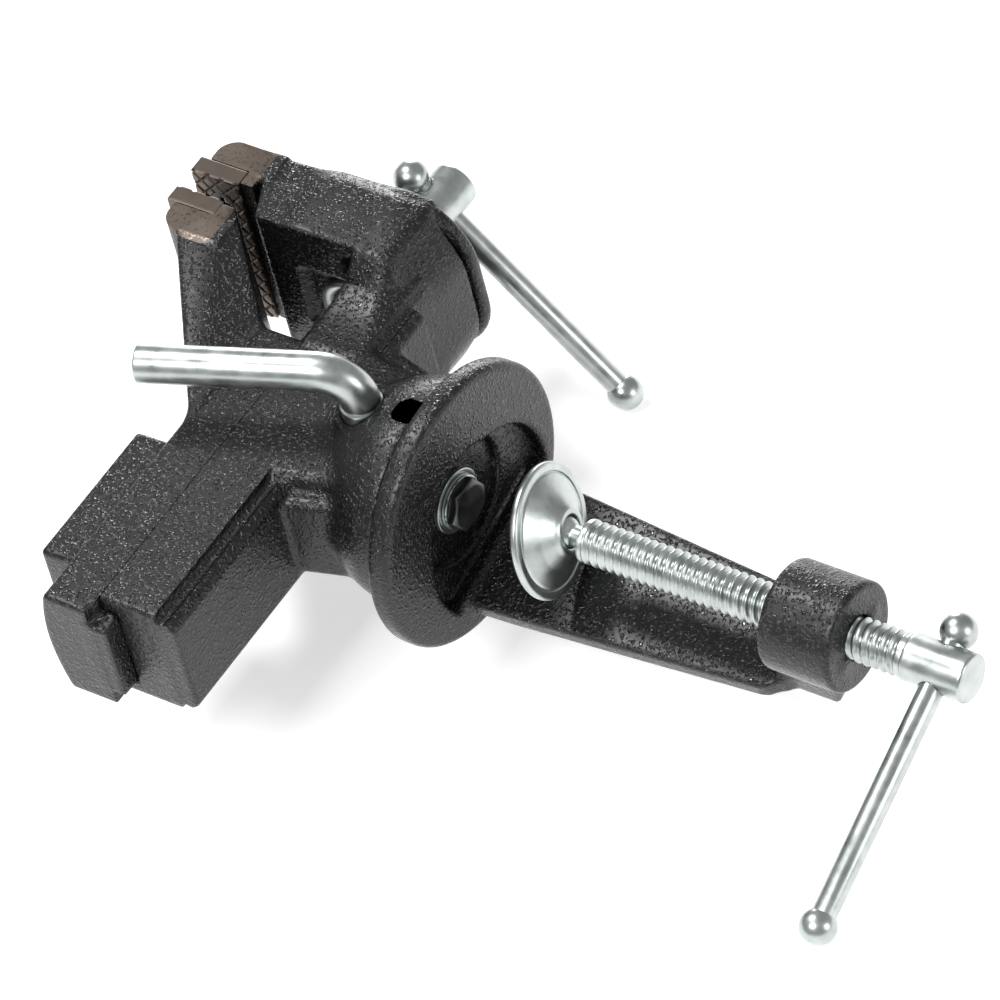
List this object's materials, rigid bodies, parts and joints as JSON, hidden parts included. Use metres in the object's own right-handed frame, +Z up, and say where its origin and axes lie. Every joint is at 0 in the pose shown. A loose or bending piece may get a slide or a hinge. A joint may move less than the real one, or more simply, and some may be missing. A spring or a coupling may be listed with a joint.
{
  "type": "table vise",
  "caption": "Clamp-on swivel table vise: two jaws on a sliding beam with a cross-bar screw, a round swivel base with a lock lever, and a C-clamp with its own cross-bar screw and pad.",
  "frame": {"origin": "on the swivel axis, in the plane of the flange's underside, which rests on the table top", "axes": "+X along the main screw towards its cross bar, +Z up along the swivel axis, +Y across the jaws, on the side of the clamp's spine"},
  "size_m": [0.218, 0.1241, 0.3265],
  "materials": {
    "hammertone": "black hammertone paint on cast iron",
    "ground_steel": "bare ground steel",
    "dark_steel": "dark oiled steel",
    "zinc": "bright zinc plating",
    "brass": "yellow passivated split pin"
  },
  "bodies": {
    "clamp": {"clamp_frame": "hammertone"},
    "head": {"fixed_body": "hammertone", "fixed_jaw_plate": "ground_steel", "fixed_plate_screw_1": "dark_steel", "fixed_plate_screw_2": "dark_steel", "thrust_washer": "zinc", "swivel_washer": "zinc", "swivel_spring_washer": "zinc", "swivel_bolt": "zinc"},
    "slide": {"moving_jaw": "hammertone", "moving_jaw_plate": "ground_steel", "moving_plate_screw_1": "dark_steel", "moving_plate_screw_2": "dark_steel"},
    "screw": {"main_screw": "zinc", "retaining_washer": "zinc", "cotter_pin": "brass"},
    "screw_bar": {"main_bar": "zinc", "main_bar_ball_1": "zinc", "main_bar_ball_2": "zinc"},
    "lever": {"lock_lever": "zinc"},
    "pad": {"pressure_pad": "zinc"},
    "clamp_spindle": {"clamp_screw": "zinc"},
    "clamp_handle": {"clamp_bar": "zinc", "clamp_bar_ball_1": "zinc", "clamp_bar_ball_2": "zinc"}
  },
  "joints": [
    {"name": "swivel", "type": "hinge", "parent": "clamp", "child": "head", "pos_m": [0, 0, 0.0122], "axis": [0, 0, 1], "continuous": true},
    {"name": "jaw_travel", "type": "slide", "parent": "head", "child": "slide", "axis": [-1, 0, 0], "range_m": [-0.0068, 0.055]},
    {"name": "main_screw_turn", "type": "hinge", "parent": "head", "child": "screw", "pos_m": [0.1, 0, 0.0825], "axis": [1, 0, 0], "range_deg": [-817, 6601]},
    {"name": "main_bar_slide", "type": "slide", "parent": "screw", "child": "screw_bar", "axis": [0, -0.7373, 0.6756], "range_m": [0, 0.075]},
    {"name": "lever_turn", "type": "hinge", "parent": "head", "child": "lever", "pos_m": [0, -0.0344, 0.03475], "axis": [0, -1, 0], "range_deg": [-15, 105]},
    {"name": "clamp_travel", "type": "slide", "parent": "clamp", "child": "pad", "axis": [0, 0, 1], "range_m": [-0.065, 0.013]},
    {"name": "clamp_screw_turn", "type": "hinge", "parent": "pad", "child": "clamp_spindle", "pos_m": [0.00222, -0.0006, -0.1], "axis": [0, 0, 1], "range_deg": [-7795, 1555]},
    {"name": "clamp_bar_slide", "type": "slide", "parent": "clamp_spindle", "child": "clamp_handle", "axis": [0.9336, -0.3584, 0], "range_m": [0, 0.075]}
  ],
  "couplings": [
    {"joint": "main_screw_turn", "follows": "jaw_travel", "rad_per_m": 2094.4},
    {"joint": "clamp_travel", "follows": "clamp_screw_turn", "m_per_rad": 0.00047746}
  ]
}
